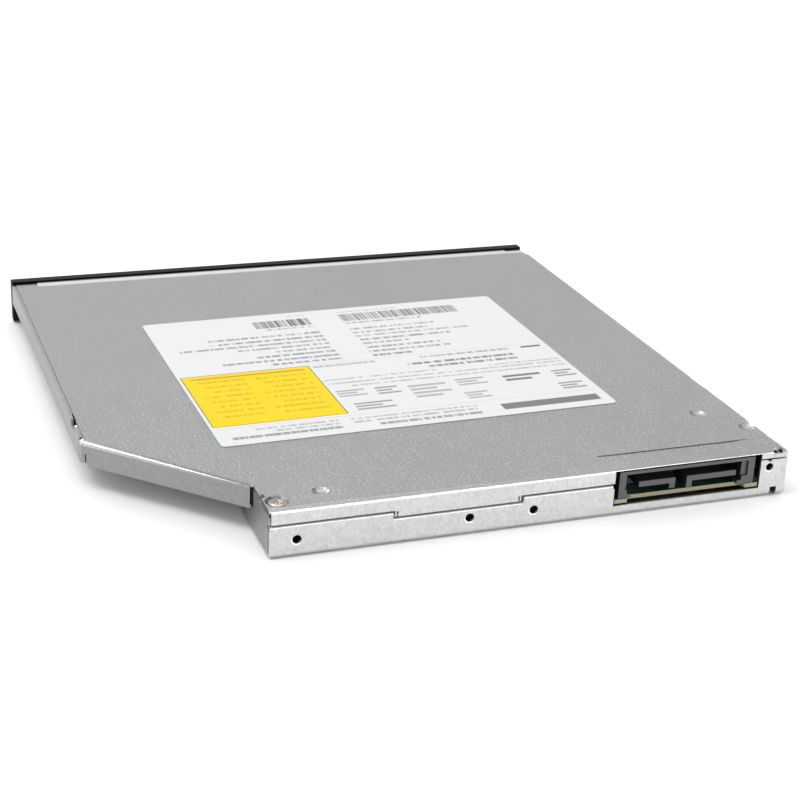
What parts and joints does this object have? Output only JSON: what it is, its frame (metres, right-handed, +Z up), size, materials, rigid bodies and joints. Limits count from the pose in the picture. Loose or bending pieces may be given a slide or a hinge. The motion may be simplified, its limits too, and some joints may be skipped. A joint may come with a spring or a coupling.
{
  "type": "internal DVD writer",
  "caption": "Slim internal disc drive: folded sheet-metal case with a cut-back corner, tray on telescoping rails, spindle and optical pickup, serial power and data connector at the rear.",
  "frame": {"origin": "middle of the underside of the bounding box", "axes": "+Z up, out of the labelled cover; +Y toward the connector at the rear; the tray opens along -Y"},
  "size_m": [0.128, 0.129, 0.0099],
  "materials": {
    "galvanised_sheet": "satin zinc-coated sheet",
    "bright_steel": "bright pressed or turned steel",
    "motor_steel": "plain steel can",
    "nickel": "nickel-plated, slightly warm",
    "cast_alloy": "matt die casting",
    "copper_winding": "enamelled copper winding",
    "bezel_plastic": "fine-grained black",
    "tray_plastic": "dark grey, moulded",
    "connector_plastic": "dark grey, moulded",
    "ivory_plastic": "natural, moulded",
    "claw_plastic": "natural, moulded",
    "black_sheet": "black, matt",
    "coil_wrap": "amber tape",
    "circuit_board": "dark green solder resist",
    "ribbon_film": "pale flexible film",
    "clear_plastic": "translucent",
    "soft_rubber": "matt black",
    "lens_glass": "coated",
    "label_paper": "near-white with plain printed fields"
  },
  "bodies": {
    "chassis": {"top_cover": "galvanised_sheet", "lower_case": "galvanised_sheet", "label": "label_paper", "cover_screw": "nickel", "guide_left": "bright_steel", "guide_right": "bright_steel", "main_board": "circuit_board", "sata_connector": "connector_plastic", "ribbon_socket": "ivory_plastic", "ribbon_cable": "ribbon_film", "board_screw_1": "nickel", "board_screw_2": "nickel", "latch_post": "bright_steel"},
    "left_rail": {"rail_left": "bright_steel"},
    "right_rail": {"rail_right": "bright_steel"},
    "drawer": {"tray": "tray_plastic", "front_bezel": "bezel_plastic", "status_lens": "clear_plastic", "front_board": "circuit_board", "eject_switch": "ivory_plastic", "tray_shield": "galvanised_sheet", "mechanism_cover": "black_sheet", "traverse_plate": "bright_steel", "damper_1": "soft_rubber", "damper_2": "soft_rubber", "damper_3": "soft_rubber", "guide_shaft_main": "bright_steel", "guide_shaft_sub": "bright_steel", "sled_motor": "motor_steel", "spindle_stator": "copper_winding", "eject_solenoid": "coil_wrap", "eject_spring": "bright_steel"},
    "button": {"eject_button": "bezel_plastic"},
    "screw": {"lead_screw": "bright_steel"},
    "turntable": {"spindle_rotor": "bright_steel", "turntable_hub": "tray_plastic", "turntable_pad": "soft_rubber"},
    "claw_1": {"hub_claw_1": "claw_plastic"},
    "claw_2": {"hub_claw_2": "claw_plastic"},
    "claw_3": {"hub_claw_3": "claw_plastic"},
    "sled": {"pickup_sled": "cast_alloy", "drive_nut": "ivory_plastic", "actuator_yoke": "bright_steel"},
    "lens": {"lens_holder": "tray_plastic", "objective_lens": "lens_glass"},
    "latch": {"latch_lever": "ivory_plastic"},
    "plunger": {"solenoid_plunger": "bright_steel"},
    "rod": {"eject_rod": "bright_steel"}
  },
  "joints": [
    {"name": "tray_slide", "type": "slide", "parent": "chassis", "child": "drawer", "axis": [0, -1, 0], "range_m": [0, 0.122]},
    {"name": "left_rail_slide", "type": "slide", "parent": "chassis", "child": "left_rail", "axis": [0, -1, 0], "range_m": [0, 0.0611]},
    {"name": "right_rail_slide", "type": "slide", "parent": "chassis", "child": "right_rail", "axis": [0, -1, 0], "range_m": [0, 0.0611]},
    {"name": "turntable_spin", "type": "hinge", "parent": "drawer", "child": "turntable", "pos_m": [0, 0.00045, 0.006], "axis": [0, 0, 1], "continuous": true},
    {"name": "sled_slide", "type": "slide", "parent": "drawer", "child": "sled", "axis": [-0.7071, -0.7071, 0], "range_m": [0, 0.034]},
    {"name": "lens_focus", "type": "slide", "parent": "sled", "child": "lens", "axis": [0, 0, 1], "range_m": [-0.0002, 0.0004], "stiffness_N_per_m": 60},
    {"name": "lead_screw_turn", "type": "hinge", "parent": "drawer", "child": "screw", "pos_m": [-0.01244, 0.0129, 0.0036], "axis": [-0.7071, -0.7071, 0], "range_deg": [0, 6121]},
    {"name": "eject_press", "type": "slide", "parent": "drawer", "child": "button", "axis": [0, 1, 0], "range_m": [0, 0.0005], "stiffness_N_per_m": 600},
    {"name": "latch_swing", "type": "hinge", "parent": "drawer", "child": "latch", "pos_m": [0.0253, -0.04, 0.003], "axis": [0, 0, 1], "range_deg": [-9, 0]},
    {"name": "plunger_pull", "type": "slide", "parent": "drawer", "child": "plunger", "axis": [-1, 0, 0], "range_m": [0, 0.00094], "stiffness_N_per_m": 55},
    {"name": "rod_push", "type": "slide", "parent": "drawer", "child": "rod", "axis": [0, 1, 0], "range_m": [0, 0.0101]},
    {"name": "claw_1_press", "type": "slide", "parent": "turntable", "child": "claw_1", "axis": [0.7071, 0.7071, 0], "range_m": [0, 0.0006], "stiffness_N_per_m": 150},
    {"name": "claw_2_press", "type": "slide", "parent": "turntable", "child": "claw_2", "axis": [-0.9659, 0.2588, 0], "range_m": [0, 0.0006], "stiffness_N_per_m": 150},
    {"name": "claw_3_press", "type": "slide", "parent": "turntable", "child": "claw_3", "axis": [0.2588, -0.9659, 0], "range_m": [0, 0.0006], "stiffness_N_per_m": 150}
  ],
  "couplings": [
    {"joint": "left_rail_slide", "follows": "tray_slide", "ratio": 0.5},
    {"joint": "right_rail_slide", "follows": "tray_slide", "ratio": 0.5},
    {"joint": "rod_push", "follows": "tray_slide", "ratio": 0.08197},
    {"joint": "lead_screw_turn", "follows": "sled_slide", "rad_per_m": 3141.6},
    {"joint": "latch_swing", "follows": "plunger_pull", "rad_per_m": -166.67}
  ]
}
